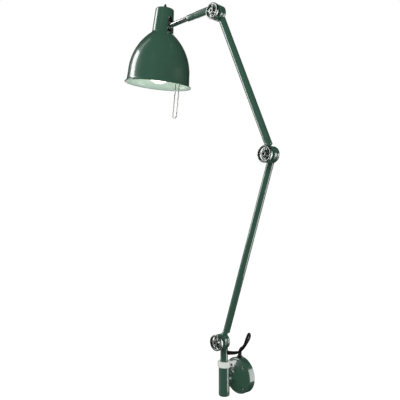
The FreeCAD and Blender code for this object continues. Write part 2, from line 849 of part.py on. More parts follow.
def switch_body():
    top = neck_top - shade_wall
    bush_top = neck_top + switch_bush_rise
    body = rod_between(switch_body_radius, Vector(0, 0, top - switch_body_length),
                       Vector(0, 0, top))
    bush = rod_between(switch_bush_radius, Vector(0, 0, top), Vector(0, 0, bush_top))
    return fused([body, bush])


def switch_knob():
    base = neck_top + switch_bush_rise
    return turned([(0, base), (switch_knob_radius, base),
                   (switch_knob_waist_radius, base + switch_knob_waist_height),
                   (switch_knob_tip_radius, base + switch_knob_height),
                   (0, base + switch_knob_height)], Vector(0, 0, 0), Vector(0, 0, 1))


def handle_place():
    """Distance of the handle's wire from the shade's axis."""
    return dome_low_radius - shade_wall - handle_wall_gap - handle_wire_radius


def handle_wire():
    """A hairpin of round wire, hung inside the rim below the slot."""
    half = handle_width / 2
    top = -rim_drop + handle_above_rim
    turn = -rim_drop - handle_below_rim + half
    reach = handle_place()
    left = rod_between(handle_wire_radius, Vector(reach, -half, turn), Vector(reach, -half, top))
    right = rod_between(handle_wire_radius, Vector(reach, half, turn), Vector(reach, half, top))
    bend = Part.makeTorus(half, handle_wire_radius, Vector(reach, 0, turn), Vector(1, 0, 0))
    lower_half = Part.makeBox(8 * handle_wire_radius, 2 * handle_width, handle_width)
    lower_half.translate(Vector(reach - 4 * handle_wire_radius, -handle_width,
                                turn - handle_width))
    return fused([left, right, bend.common(lower_half)])


def handle_clip():
    """Bridge that holds the two legs of the handle against the shade's inside."""
    reach = handle_place()
    top = -rim_drop + handle_above_rim - clip_drop
    width = handle_width + 2 * handle_wire_radius + 2 * clip_side
    block = Part.makeBox(rim_radius, width, clip_height)
    block.translate(Vector(reach - handle_wire_radius - clip_thickness, -width / 2,
                           top - clip_height))
    inside = hollow_of_shade()
    legs = group([rod_between(handle_wire_radius,
                              Vector(reach, side * handle_width / 2, top - 2 * clip_height),
                              Vector(reach, side * handle_width / 2, top + clip_height))
                  for side in (-1, 1)])
    return block.common(inside).cut(legs)


def hollow_of_shade():
    """A plain cone that follows the shade's inner wall at the height of the clip."""
    slope = (skirt_radius - dome_low_radius) / (skirt_drop - dome_low_drop)
    low_radius = skirt_radius - shade_wall - clip_wall_gap
    height = handle_below_rim
    return Part.makeCone(low_radius, low_radius - slope * height, height,
                         Vector(0, 0, -skirt_drop))


# ---- cord ---------------------------------------------------------------------------------
def cord_route():
    """Points of the free loop, chosen by hand: out of the pin, up, over and into the gland."""
    start = swung_point(Vector(0, 0, cord_exit_height)
                        + exit_direction() * (pin_radius + grommet_length))
    gland_top = Vector(0, -gland_inset, cover_radius + gland_flange_height)
    return [start, Vector(19.39, -39.94, 59.0), Vector(34.5, -36.0, 67.0),
            Vector(45.0, -31.0, 83.0), Vector(46.0, -19.5, 97.5), Vector(30.0, -8.0, 101.5),
            Vector(20.0, -7.0, 84.0), Vector(14.5, -7.5, 68.0), Vector(0.0, -8.0, 57.5), gland_top]


def swung_point(point):
    angle = math.radians(swing)
    return Vector(point.x * math.cos(angle) - point.y * math.sin(angle),
                  point.x * math.sin(angle) + point.y * math.cos(angle) - stub_length, point.z)


def rounded_path(points):
    """Straight runs joined by tangent arcs, each as large as its two runs allow."""
    edges = []
    radii = []
    last = points[0]
    for before, corner, after in zip(points, points[1:], points[2:]):
        back = (before - corner)
        ahead = (after - corner)
        setback = cord_setback_share * min(back.Length, ahead.Length)
        back.normalize()
        ahead.normalize()
        half_turn = (math.pi - back.getAngle(ahead)) / 2
        radius = setback / math.tan(half_turn)
        radii.append(radius)
        entry = corner + back * setback
        leave = corner + ahead * setback
        inward = (back + ahead).normalize()
        middle = corner + inward * (radius / math.cos(half_turn) - radius)
        edges.append(Part.LineSegment(last, entry).toShape())
        edges.append(Part.Arc(entry, middle, leave).toShape())
        last = leave
    edges.append(Part.LineSegment(last, points[-1]).toShape())
    return Part.Wire(edges), radii


def mains_cord():
    path, radii = rounded_path(cord_route())
    start = cord_route()[0]
    section = Part.Wire(Part.Circle(start, cord_route()[1] - start, cord_radius).toShape())
    tube = path.makePipeShell([section], True, False)
    expected = math.pi * cord_radius ** 2 * path.Length
    print("cord length %.1f, volume share %.4f, radii %s"
          % (path.Length, tube.Volume / expected, ["%.1f" % radius for radius in radii]))
    return tube


# ---- write the pieces ---------------------------------------------------------------------
save("wall_cover", wall_cover())
save("back_plate", back_plate())
save("cover_screws", cover_screws())
save("terminal_block", terminal_block())
save("cord_gland", cord_gland())
save("stub", stub())
save("stub_collar", stub_collar())
save("socket_tube", socket_tube())
save("socket_liner", socket_liner())
save("nylon_ring", nylon_ring())
save("ring_screw", ring_screw())

save("swivel_pin", swung(swivel_pin()))
save("swivel_knuckle", swung(swivel_knuckle()))
save("cord_grommet", swung(cord_grommet()))
save("mains_cord", mains_cord())

save_arm("lower", lower_pivot, lower_arm_length, lower_arm_lean, lower_tube_radius)
save_arm("upper", middle_pivot, upper_arm_length, upper_arm_lean, upper_tube_radius)
save_joint_hardware("lower", lower_pivot)
save_joint_hardware("middle", middle_pivot)
save_joint_hardware("top", upper_pivot)

save("rod_head", swung(rod_head()))
save("rod_sleeve", swung(rod_sleeve()))
save("shade_rod", swung(shade_rod()))

for name, make in (("shade", shade), ("ball_housing", ball_housing), ("upper_seat", upper_seat),
                   ("lower_seat", lower_seat), ("seat_spring", seat_spring),
                   ("housing_cap", housing_cap), ("housing_ring", housing_ring),
                   ("lampholder", lampholder), ("lamp_bulb", lamp_bulb),
                   ("switch_body", switch_body), ("switch_knob", switch_knob),
                   ("handle_wire", handle_wire), ("handle_clip", handle_clip)):
    save(name, swung(in_shade_frame(make())))
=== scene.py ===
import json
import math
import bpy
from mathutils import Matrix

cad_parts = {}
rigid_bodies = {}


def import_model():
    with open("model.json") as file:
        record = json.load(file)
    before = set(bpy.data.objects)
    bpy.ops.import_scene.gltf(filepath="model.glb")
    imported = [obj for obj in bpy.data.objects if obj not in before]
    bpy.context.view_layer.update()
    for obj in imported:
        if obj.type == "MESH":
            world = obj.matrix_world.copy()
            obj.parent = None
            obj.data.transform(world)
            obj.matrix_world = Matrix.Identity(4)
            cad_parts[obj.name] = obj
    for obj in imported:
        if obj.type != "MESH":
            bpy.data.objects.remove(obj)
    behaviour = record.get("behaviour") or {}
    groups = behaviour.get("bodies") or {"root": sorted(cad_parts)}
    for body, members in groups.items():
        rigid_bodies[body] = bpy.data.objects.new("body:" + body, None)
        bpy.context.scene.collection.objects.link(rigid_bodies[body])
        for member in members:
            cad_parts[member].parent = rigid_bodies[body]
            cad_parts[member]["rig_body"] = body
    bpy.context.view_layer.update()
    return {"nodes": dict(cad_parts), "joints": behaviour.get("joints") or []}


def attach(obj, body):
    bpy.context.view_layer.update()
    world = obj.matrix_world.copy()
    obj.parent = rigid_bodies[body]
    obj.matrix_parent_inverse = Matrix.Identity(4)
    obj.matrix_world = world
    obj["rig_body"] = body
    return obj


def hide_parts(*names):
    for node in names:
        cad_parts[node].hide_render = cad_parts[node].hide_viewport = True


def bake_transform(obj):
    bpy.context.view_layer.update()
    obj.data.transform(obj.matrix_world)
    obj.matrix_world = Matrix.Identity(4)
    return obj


bl_info = {
    "name": "Articulated Wall Lamp",
    "version": (1, 0, 0),
    "blender": (4, 5, 0),
    "location": "View3D > Sidebar > Wall Lamp",
    "description": "Dresses the wall lamp's frame with modelled pieces, materials, light and a camera",
    "category": "Object",
}

import bmesh
import bpy
from bpy.props import FloatProperty, FloatVectorProperty, PointerProperty
from mathutils import Matrix, Vector

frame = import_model()

# Metres, in the lamp's own frame: origin at the middle of the wall plate, +Z up, -Y into the
# room. Outlines are (radius, height) pairs, each in the frame of its own piece. They and the
# sizes of the pieces are in millimetres, unless MM stands beside them; the cord's route and
# the stage are in metres.
MM = 0.001
JOINTS = {joint["name"]: joint for joint in frame["joints"]}


def pivot(joint):
    return Vector(JOINTS[joint]["pos_m"])


HINGE = Vector(JOINTS["lower_hinge"]["axis"]).normalized()
UP = Vector((0, 0, 1))


def standing(origin, up):
    """A frame at a point, with Z along up and Y along the arm's hinge axis."""
    z = up.normalized()
    x = HINGE.cross(z).normalized()
    y = z.cross(x)
    turn = Matrix((x, y, z)).transposed().to_4x4()
    return Matrix.Translation(origin) @ turn


ROD_REACH = 180
ROD_AXIS = Vector(JOINTS["rod_turn"]["axis"]).normalized()
SHADE_AXIS = Vector(JOINTS["switch_turn"]["axis"]).normalized()
WALL = Matrix.Rotation(math.radians(90), 4, "X")
SOCKET = Matrix.Translation(pivot("swivel_turn"))
LOWER_ARM = standing(pivot("lower_hinge"), pivot("middle_hinge") - pivot("lower_hinge"))
UPPER_ARM = standing(pivot("middle_hinge"), pivot("top_hinge") - pivot("middle_hinge"))
ROD = standing(pivot("rod_turn") - ROD_AXIS * (ROD_REACH * MM), ROD_AXIS)
SHADE = standing(pivot("shade_tilt"), SHADE_AXIS)


# ---- colours and sizes that a user would change ---------------------------------------------
def from_hex(code):
    """An sRGB hex colour as the linear values that a shader takes."""
    parts = [int(code[index:index + 2], 16) / 255 for index in (0, 2, 4)]
    return [value / 12.92 if value <= 0.04045 else ((value + 0.055) / 1.055) ** 2.4
            for value in parts]


def colour(label, text, code):
    return FloatVectorProperty(name=label, description=text, subtype="COLOR", size=3,
                               min=0, max=1, default=from_hex(code))


def length(label, text, value):
    return FloatProperty(name=label, description=text, subtype="DISTANCE", unit="LENGTH",
                         default=value * MM, min=0, precision=5)


class LampColours(bpy.types.PropertyGroup):
    lacquer: colour("Lacquer", "Stove enamel on the metal outside", "355B49")
    lining: colour("Lining", "Pale enamel inside the shade", "C3DACF")
    nylon: colour("Nylon", "Clamp ring of the swivel", "E4E7E1")
    sheath: colour("Sheath", "Outside of the mains cord", "141516")
    glow: colour("Glow", "Light of the opal bulb", "FFF8EC")


class LampSizes(bpy.types.PropertyGroup):
    cast_grain: length("Casting grain", "Edge softness of the cast pieces", 0.5)
    relief_length: length("Strain relief", "Length of the tapered sleeves on the cord", 20)
    rim_bead: length("Rim bead", "Radius of the rolled edge of the shade", 1.1)
    orange_peel: length("Orange peel", "Size of the waves in the enamel", 2.5)
    bulb_power: FloatProperty(name="Bulb", description="Brightness of the opal bulb",
                              default=2.6, min=0)


def sizes():
    return bpy.context.scene.wall_lamp_sizes


def colours():
    return bpy.context.scene.wall_lamp_colours


# ---- mesh helpers ---------------------------------------------------------------------------
def circle_centre(a, b, c):
    """Centre of the circle through three points of an outline's plane."""
    ax, az, bx, bz, cx, cz = a.x, a.z, b.x, b.z, c.x, c.z
    twice = 2 * (ax * (bz - cz) + bx * (cz - az) + cx * (az - bz))
    a2, b2, c2 = ax * ax + az * az, bx * bx + bz * bz, cx * cx + cz * cz
    return Vector(((a2 * (bz - cz) + b2 * (cz - az) + c2 * (az - bz)) / twice, 0,
                   (a2 * (cx - bx) + b2 * (ax - cx) + c2 * (bx - ax)) / twice))


ARC_STEPS = 20
ROUND_STEPS = 5
LATHE_STEPS = 96
SLIM_STEPS = 64
MERGE = 0.002 * MM
SHARP_ANGLE = 32
EASE = 0.5


def bend(bm, start, middle, end):
    """Spin one vertex along the arc from start through middle to end; returns the last one."""
    centre = circle_centre(start.co, middle, end)
    u, w = start.co - centre, end - centre
    turn = math.atan2(u.cross(w).y, u.dot(w))
    made = bmesh.ops.spin(bm, geom=[start], cent=centre, axis=(0, 1, 0), dvec=(0, 0, 0),
                          angle=turn, steps=ARC_STEPS, use_merge=False, use_duplicate=False)
    last = [item for item in made["geom_last"] if isinstance(item, bmesh.types.BMVert)][0]
    last.co = end
    return last


def trace(bm, path, closed):
    """A chain of edges through corners (radius, height), rounded where a corner has a third
    number, with arcs where an item is ("arc", middle, end)."""
    last, first, rounds = None, None, []
    for item in path:
        if item[0] == "arc":
            middle, end = (Vector((r * MM, 0, z * MM)) for r, z in item[1:])
            last = bend(bm, last, middle, end)
            continue
        vertex = bm.verts.new((item[0] * MM, 0, item[1] * MM))
        if last is not None:
            bm.edges.new((last, vertex))
        if len(item) > 2:
            rounds.append((vertex, item[2] * MM))
        first = first or vertex
        last = vertex
    if closed:
        bm.edges.new((last, first))
    for vertex, radius in rounds:
        bmesh.ops.bevel(bm, geom=[vertex], offset=radius, offset_type="OFFSET",
                        segments=ROUND_STEPS, profile=0.5, affect="VERTICES", material=-1)


def lathe(path, place, steps=LATHE_STEPS, closed=True):
    """Turn an outline once round its own Z and put it in place."""
    bm = bmesh.new()
    trace(bm, path, closed)
    bmesh.ops.spin(bm, geom=bm.verts[:] + bm.edges[:], cent=(0, 0, 0), axis=(0, 0, 1),
                   dvec=(0, 0, 0), angle=math.tau, steps=steps, use_merge=True,
                   use_duplicate=False)
    bmesh.ops.remove_doubles(bm, verts=bm.verts, dist=MERGE)
    bmesh.ops.recalc_face_normals(bm, faces=bm.faces)
    bm.transform(place)
    return bm


def cad_form(node):
    """A merged copy of a CAD node's triangles."""
    bm = bmesh.new()
    bm.from_mesh(frame["nodes"][node].data)
    bmesh.ops.remove_doubles(bm, verts=bm.verts, dist=MERGE)
    bmesh.ops.recalc_face_normals(bm, faces=bm.faces)
    return bm


def piece(name, bm, body, material, replaced=(), sharp=SHARP_ANGLE):
    """Make an object of a bmesh, smooth but for its sharp edges, and put it on its body."""
    mesh = bpy.data.meshes.new(name)
    bm.to_mesh(mesh)
    bm.free()
    mesh.shade_smooth()
    mesh.set_sharp_from_angle(angle=math.radians(sharp))
    mesh.materials.append(material)
    made = bpy.data.objects.new(name, mesh)
    bpy.context.scene.collection.objects.link(made)
    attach(made, body)
    if replaced:
        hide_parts(*replaced)
    return made


def settle(made):
    """Apply the modifiers of a piece, so that its mesh is the final one."""
    bpy.context.view_layer.update()
    graph = bpy.context.evaluated_depsgraph_get()
    final = bpy.data.meshes.new_from_object(made.evaluated_get(graph))
    final.name = made.name
    made.modifiers.clear()
    made.data = final


def soften(made, grain, passes):
    """Soft edges and fillets of a casting or moulding: an even skin, smoothed."""
    skin = made.modifiers.new("skin", "REMESH")
    skin.mode = "VOXEL"
    skin.voxel_size = grain
    skin.use_smooth_shade = True
    ease = made.modifiers.new("ease", "SMOOTH")
    ease.factor = EASE
    ease.iterations = passes
    settle(made)


def carve(made, bm):
    """Cut a closed form out of a piece."""
    mesh = bpy.data.meshes.new("cutter")
    bm.to_mesh(mesh)
    bm.free()
    cutter = bpy.data.objects.new("cutter", mesh)
    bpy.context.scene.collection.objects.link(cutter)
    cut = made.modifiers.new("cut", "BOOLEAN")
    cut.operation = "DIFFERENCE"
    cut.solver = "EXACT"
    cut.object = cutter
    settle(made)
    bpy.data.objects.remove(cutter)
    bpy.data.meshes.remove(mesh)


# ---- material helpers -----------------------------------------------------------------------
def add(tree, kind, inputs=None, **settings):
    """Add a node with its settings; an input is a value or the socket that feeds it."""
    made = tree.nodes.new(kind)
    for name, value in settings.items():
        setattr(made, name, value)
    for name, value in (inputs or {}).items():
        if isinstance(value, bpy.types.NodeSocket):
            tree.links.new(value, made.inputs[name])
        else:
            made.inputs[name].default_value = value
    return made


def surface(name, **sockets):
    """A material with one Principled shader, whose constants are set on its own sockets."""
    made = bpy.data.materials.new(name)
    made.use_nodes = True
    tree = made.node_tree
    shader = tree.nodes["Principled BSDF"]
    for socket, value in sockets.items():
        shader.inputs[socket.replace("_", " ")].default_value = value
    place = add(tree, "ShaderNodeTexCoord")
    return made, tree, shader, place.outputs["Object"]


def per_metre(size):
    """Scale of a texture whose features are that many metres apart."""
    return 1 / size


def rgba(values):
    return (*values, 1.0)


def vary(tree, shader, where, base, patch, darker, socket="Base Color"):
    """Cloudy shift of a colour, darker by a share, over patches of that size."""
    cloud = add(tree, "ShaderNodeTexNoise", {"Vector": where, "Scale": per_metre(patch),
                                             "Detail": 4.0, "Roughness": 0.55})
    dark = [value * (1 - darker) for value in base]
    mix = add(tree, "ShaderNodeMix", {"Factor": cloud.outputs["Fac"], "A": rgba(base),
                                      "B": rgba(dark)}, data_type="RGBA")
    tree.links.new(mix.outputs["Result"], shader.inputs[socket])


def rough(tree, shader, where, patch, low, high):
    """Uneven gloss between two values, over patches of that size."""
    cloud = add(tree, "ShaderNodeTexNoise", {"Vector": where, "Scale": per_metre(patch),
                                             "Detail": 6.0, "Roughness": 0.6})
    span = add(tree, "ShaderNodeMapRange", {"Value": cloud.outputs["Fac"], "From Min": 0.3,
                                            "From Max": 0.7, "To Min": low, "To Max": high})
    tree.links.new(span.outputs["Result"], shader.inputs["Roughness"])


def waves(tree, shader, where, size, depth, strength, stretch=(1, 1, 1)):
    """Bump of that depth, with features of that size."""
    spread = add(tree, "ShaderNodeMapping", {"Vector": where, "Scale": stretch})
    relief = add(tree, "ShaderNodeTexNoise", {"Vector": spread.outputs["Vector"],
                                              "Scale": per_metre(size), "Detail": 2.0})
    bump = add(tree, "ShaderNodeBump", {"Height": relief.outputs["Fac"], "Strength": strength,
                                        "Distance": depth})
    tree.links.new(bump.outputs["Normal"], shader.inputs["Normal"])
    return bump


# ---- materials ------------------------------------------------------------------------------
def stove_enamel():
    # Dark green stove enamel, sprayed and baked: a deep even colour under a hard clear gloss,
    # with the faint waves of orange peel in its reflections.
    base = list(colours().lacquer)
    made, tree, shader, where = surface("stove_enamel_green", Roughness=0.32, Coat_Weight=1.0,
                                        Coat_Roughness=0.06)
    vary(tree, shader, where, base, patch=45 * MM, darker=0.16)
    rough(tree, shader, where, patch=20 * MM, low=0.28, high=0.40)
    bump = waves(tree, shader, where, size=sizes().orange_peel, depth=0.02 * MM, strength=0.35)
    tree.links.new(bump.outputs["Normal"], shader.inputs["Coat Normal"])
    return made


def lining_enamel():
    # Pale enamel inside the shade: bright and satin, so it spreads the bulb's light evenly.
    base = list(colours().lining)
    made, tree, shader, where = surface("lining_enamel_mint", Roughness=0.42, Coat_Weight=0.3,
                                        Coat_Roughness=0.2)
    vary(tree, shader, where, base, patch=35 * MM, darker=0.05)
    waves(tree, shader, where, size=sizes().orange_peel, depth=0.02 * MM, strength=0.3)
    return made


def chromed_steel():
    # Chrome plate on turned steel: a mirror with faint, uneven wipes in its gloss.
    made, tree, shader, where = surface("chromed_steel", Metallic=1.0, Roughness=0.08)
    vary(tree, shader, where, from_hex("DADBDD"), patch=12 * MM, darker=0.05)
    rough(tree, shader, where, patch=4 * MM, low=0.05, high=0.14)
    waves(tree, shader, where, size=0.8 * MM, depth=0.004 * MM, strength=0.3)
    return made


def zinc_plated_steel():
    # Zinc plate on pressed and turned steel: a cool grey with a soft, patchy sheen.
    made, tree, shader, where = surface("zinc_plated_steel", Metallic=1.0, Roughness=0.3)
    vary(tree, shader, where, from_hex("C3C5C8"), patch=3 * MM, darker=0.18)
    rough(tree, shader, where, patch=2 * MM, low=0.22, high=0.38)
    waves(tree, shader, where, size=0.6 * MM, depth=0.01 * MM, strength=0.4)
    return made


def spring_wire():
    # Drawn and nickel-plated spring wire: bright, with fine lines left by the die.
    made, tree, shader, where = surface("nickel_plated_wire", Metallic=1.0, Roughness=0.16)
    vary(tree, shader, where, from_hex("CFCDC8"), patch=6 * MM, darker=0.08)
    rough(tree, shader, where, patch=5 * MM, low=0.12, high=0.22)
    waves(tree, shader, where, size=0.5 * MM, depth=0.006 * MM, strength=0.3, stretch=(1, 1, 0.1))
    return made


def tumbled_alloy():
    # Die-cast aluminium, tumbled: dull grey with a fine grain.
    made, tree, shader, where = surface("tumbled_alloy", Metallic=1.0, Roughness=0.38)
    vary(tree, shader, where, from_hex("B2B8B4"), patch=4 * MM, darker=0.2)
    rough(tree, shader, where, patch=1.5 * MM, low=0.32, high=0.46)
    waves(tree, shader, where, size=0.7 * MM, depth=0.02 * MM, strength=0.5)
    return made


def natural_nylon():
    # Moulded natural nylon: milky, a little light inside it, with a satin skin.
    made, tree, shader, where = surface("natural_nylon", Roughness=0.42, IOR=1.53,
                                        Subsurface_Weight=0.15, Subsurface_Scale=1.0 * MM,
                                        Subsurface_Radius=(1.0, 1.0, 1.0))
    vary(tree, shader, where, list(colours().nylon), patch=8 * MM, darker=0.06)
    rough(tree, shader, where, patch=4 * MM, low=0.36, high=0.5)
    waves(tree, shader, where, size=1.2 * MM, depth=0.01 * MM, strength=0.3)
    return made


def pressed_fibre():
    # Vulcanised fibre: dark brown board, matt, with short pressed strands.
    made, tree, shader, where = surface("vulcanised_fibre", Roughness=0.75)
    vary(tree, shader, where, from_hex("4A3A30"), patch=1.5 * MM, darker=0.35)
    rough(tree, shader, where, patch=2 * MM, low=0.65, high=0.85)
    waves(tree, shader, where, size=0.6 * MM, depth=0.03 * MM, strength=0.6, stretch=(1, 4, 1))
    return made


def black_phenolic():
    # Moulded black phenolic plastic: deep black with a polished skin.
    made, tree, shader, where = surface("black_phenolic", Roughness=0.28, IOR=1.6)
    vary(tree, shader, where, from_hex("1B1B1C"), patch=5 * MM, darker=0.25)
    rough(tree, shader, where, patch=3 * MM, low=0.22, high=0.36)
    waves(tree, shader, where, size=1.0 * MM, depth=0.008 * MM, strength=0.3)
    return made


def soft_rubber():
    # Moulded rubber of the strain reliefs: black and nearly matt.
    made, tree, shader, where = surface("moulded_rubber", Roughness=0.6)
    vary(tree, shader, where, from_hex("19191A"), patch=3 * MM, darker=0.2)
    rough(tree, shader, where, patch=2 * MM, low=0.52, high=0.7)
    waves(tree, shader, where, size=0.5 * MM, depth=0.01 * MM, strength=0.4)
    return made


def cord_sheath():
    # Extruded plastic sheath: black and satin, with a faint fine grain.
    made, tree, shader, where = surface("extruded_sheath", Roughness=0.38)
    vary(tree, shader, where, list(colours().sheath), patch=6 * MM, darker=0.25)
    rough(tree, shader, where, patch=3 * MM, low=0.32, high=0.46)
    waves(tree, shader, where, size=0.8 * MM, depth=0.01 * MM, strength=0.3)
    return made


def opal_glass():
    # Opal glass of the lit bulb: an even white glow, a little dimmer in clouds of the opal coat.
    glow = list(colours().glow)
    made, tree, shader, where = surface("opal_glass_lit", Roughness=0.25,
                                        Emission_Strength=sizes().bulb_power)
    vary(tree, shader, where, from_hex("F4F2EC"), patch=25 * MM, darker=0.04)
    vary(tree, shader, where, glow, patch=25 * MM, darker=0.05, socket="Emission Color")
    return made


MAKERS = {"enamel": stove_enamel, "lining": lining_enamel, "chrome": chromed_steel,
          "zinc": zinc_plated_steel, "wire": spring_wire, "alloy": tumbled_alloy,
          "nylon": natural_nylon, "fibre": pressed_fibre, "phenolic": black_phenolic,
          "rubber": soft_rubber, "sheath": cord_sheath, "opal": opal_glass}
FINISHES = {}


def finish(name):
    """The material of that finish, made once."""
    if name not in FINISHES:
        FINISHES[name] = MAKERS[name]()
    return FINISHES[name]


# ---- mains cord -----------------------------------------------------------------------------
# The route's points in metres: out of the swivel pin, up, over and down into the gland.
CORD_ROUTE = [(0.008197, -0.048346, 0.0590), (0.01939, -0.03994, 0.0590),
              (0.0345, -0.0360, 0.0670), (0.0450, -0.0310, 0.0830),
              (0.0460, -0.0195, 0.0975), (0.0300, -0.0080, 0.1015),
              (0.0200, -0.0070, 0.0840), (0.0145, -0.0075, 0.0680),
              (0.0, -0.0080, 0.0575), (0.0, -0.0080, 0.0430)]
CORD_RADIUS = 2.5 * MM
CORD_ORDER = 3
CORD_STEPS = 24
CORD_ROUNDNESS = 10


def route_curve(points, kind):
    curve = bpy.data.curves.new("route", "CURVE")
    curve.dimensions = "3D"
    curve.resolution_u = CORD_STEPS
    spline = curve.splines.new(kind)
    spline.points.add(len(points) - 1)
    for point, place in zip(spline.points, points):
        point.co = (*place, 1)
    if kind == "NURBS":
        spline.order_u = CORD_ORDER
        spline.use_endpoint_u = True
    return curve


def mesh_of(curve):
    """The curve as a mesh, and the curve removed."""
    holder = bpy.data.objects.new("route", curve)
    bpy.context.scene.collection.objects.link(holder)
    bpy.context.view_layer.update()
    graph = bpy.context.evaluated_depsgraph_get()
    mesh = bpy.data.meshes.new_from_object(holder.evaluated_get(graph))
    bpy.data.objects.remove(holder)
    bpy.data.curves.remove(curve)
    return mesh


def cord_line():
    """Points along the route's smooth spline."""
    mesh = mesh_of(route_curve(CORD_ROUTE, "NURBS"))
    points = [vertex.co.copy() for vertex in mesh.vertices]
    bpy.data.meshes.remove(mesh)
    return points


def tube_along(points, radii):
    """A round closed tube along points, with a radius at each."""
    curve = route_curve(points, "POLY")
    for point, radius in zip(curve.splines[0].points, radii):
        point.radius = radius
    curve.bevel_depth = 1.0
    curve.bevel_resolution = CORD_ROUNDNESS
    curve.use_fill_caps = True
    mesh = mesh_of(curve)
    bm = bmesh.new()
    bm.from_mesh(mesh)
    bpy.data.meshes.remove(mesh)
    bmesh.ops.remove_doubles(bm, verts=bm.verts, dist=MERGE)
    bmesh.ops.recalc_face_normals(bm, faces=bm.faces)
    return bm


RELIEF_ROOT = 4.3 * MM
RELIEF_TIP = 3.0 * MM
RELIEF_RIB = 0.35 * MM
RELIEF_RIBS = 5
RELIEF_STEPS = 60


def relief_along(points, reach):
    """A ribbed sleeve over the first stretch of the cord, tapering along it."""
    places, radii, index = [], [], 0
    step = reach / RELIEF_STEPS
    here = points[0].copy()
    for count in range(RELIEF_STEPS + 1):
        share = count / RELIEF_STEPS
        rib = max(0.0, math.sin(share * RELIEF_RIBS * math.tau)) * RELIEF_RIB
        places.append(here.copy())
        radii.append(RELIEF_ROOT + (RELIEF_TIP - RELIEF_ROOT) * share + rib)
        left = step
        while index < len(points) - 1 and left > 0:
            ahead = points[index + 1] - here
            if ahead.length > left:
                here = here + ahead.normalized() * left
                left = 0
            else:
                left -= ahead.length
                index += 1
                here = points[index].copy()
    return tube_along(places, radii)


class WALLLAMP_OT_cord(bpy.types.Operator):
    """Mains cord in its loop, with a strain relief at each end"""
    bl_idname = "wall_lamp.cord"
    bl_label = "Mains cord"

    def execute(self, context):
        line = cord_line()
        cord = piece("cord_loop", tube_along(line, [CORD_RADIUS] * len(line)), "wall_side",
                     finish("sheath"))
        # piece() put it on one body; it is taken off again and left on no body
        cord.parent = None
        del cord["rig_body"]
        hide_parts("mains_cord")
        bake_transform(cord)
        reach = sizes().relief_length
        pin_end = piece("pin_strain_relief", relief_along(line, reach), "swivel",
                        finish("rubber"))
        cover_end = piece("cover_strain_relief", relief_along(line[::-1], reach), "wall_side",
                          finish("rubber"))
        return {"FINISHED"}


# ---- wall side ------------------------------------------------------------------------------
COVER_SHARP = 24
GLAND = Matrix.Translation((0, -8 * MM, 40 * MM))
GLAND_BORE = 2.5
GLAND_OUTLINE = [(GLAND_BORE, -5), (5, -5), (5, 0), (6.5, 0, 0.4), (6.5, 3, 1.4),
                 (GLAND_BORE, 3)]
STUB_BORE = 5
STUB_RADIUS = 8
STUB_TIP = 45.6
STUB_OUTLINE = [(STUB_BORE, 3), (15, 3), (15, 7), (STUB_RADIUS, 7), (STUB_RADIUS, STUB_TIP),
                (STUB_BORE, STUB_TIP)]
TRUMPET_TIP = 35.8
TRUMPET_OUTLINE = [(STUB_RADIUS, 26.8), (13, 26.8, 0.3), (12.9, 27.6),
                   ("arc", (10.0, 30.4), (9, TRUMPET_TIP)), (STUB_RADIUS, TRUMPET_TIP)]
SOCKET_RADIUS = 12
SOCKET_BORE = 9.63
SOCKET_FOOT = -35
SOCKET_FLOOR = -30
SOCKET_TOP = 28
SOCKET_OUTLINE = [(0, SOCKET_FOOT), (SOCKET_RADIUS, SOCKET_FOOT, 2.5),
                  (SOCKET_RADIUS, SOCKET_TOP, 0.5), (SOCKET_BORE, SOCKET_TOP, 0.3),
                  (SOCKET_BORE, SOCKET_FLOOR), (0, SOCKET_FLOOR)]
RING_GRAIN = 0.4 * MM
RING_PASSES = 4


class WALLLAMP_OT_wall_plate(bpy.types.Operator):
    """Domed cover with its screws, and the cord's gland"""
    bl_idname = "wall_lamp.wall_plate"
    bl_label = "Wall plate"

    def execute(self, context):
        piece("cover_shell", cad_form("wall_cover"), "wall_side",
              finish("enamel"), ["wall_cover"], COVER_SHARP)
        piece("cover_screw_heads", cad_form("cover_screws"), "wall_side",
              finish("zinc"), ["cover_screws"])
        piece("gland_collar", lathe(GLAND_OUTLINE, GLAND, SLIM_STEPS), "wall_side",
              finish("phenolic"), ["cord_gland"])
        return {"FINISHED"}


class WALLLAMP_OT_socket(bpy.types.Operator):
    """Stub, its collar, the upright socket and the nylon clamp ring"""
    bl_idname = "wall_lamp.socket"
    bl_label = "Stub and socket"

    def execute(self, context):
        piece("stub_bar", lathe(STUB_OUTLINE, WALL), "wall_side",
              finish("enamel"), ["stub"])
        piece("stub_trumpet", lathe(TRUMPET_OUTLINE, WALL), "wall_side",
              finish("enamel"), ["stub_collar"])
        piece("socket_cup", lathe(SOCKET_OUTLINE, SOCKET), "wall_side",
              finish("enamel"), ["socket_tube"])
        ring = piece("clamp_ring", cad_form("nylon_ring"), "wall_side",
                     finish("nylon"), ["nylon_ring"])
        soften(ring, RING_GRAIN, RING_PASSES)
        piece("clamp_screw", cad_form("ring_screw"), "wall_side", finish("zinc"),
              ["ring_screw"])
        return {"FINISHED"}


# ---- knuckles, arms and handwheels ----------------------------------------------------------
CASTINGS = (("swivel_knuckle", "swivel"), ("lower_arm_foot", "lower_arm"),
            ("lower_arm_head", "lower_arm"), ("upper_arm_foot", "upper_arm"),
            ("upper_arm_head", "upper_arm"), ("rod_head", "head_arm"))
CASTING_PASSES = 8
WHEEL_GRAIN_SHARE = 0.9
WHEEL_PASSES = 6
# Name of a hinge, with the bodies that hold its bolt and its thrust washer.
BOLT_BODIES = (("lower", "swivel", "lower_arm"), ("middle", "lower_arm", "upper_arm"),
               ("top", "upper_arm", "head_arm"))


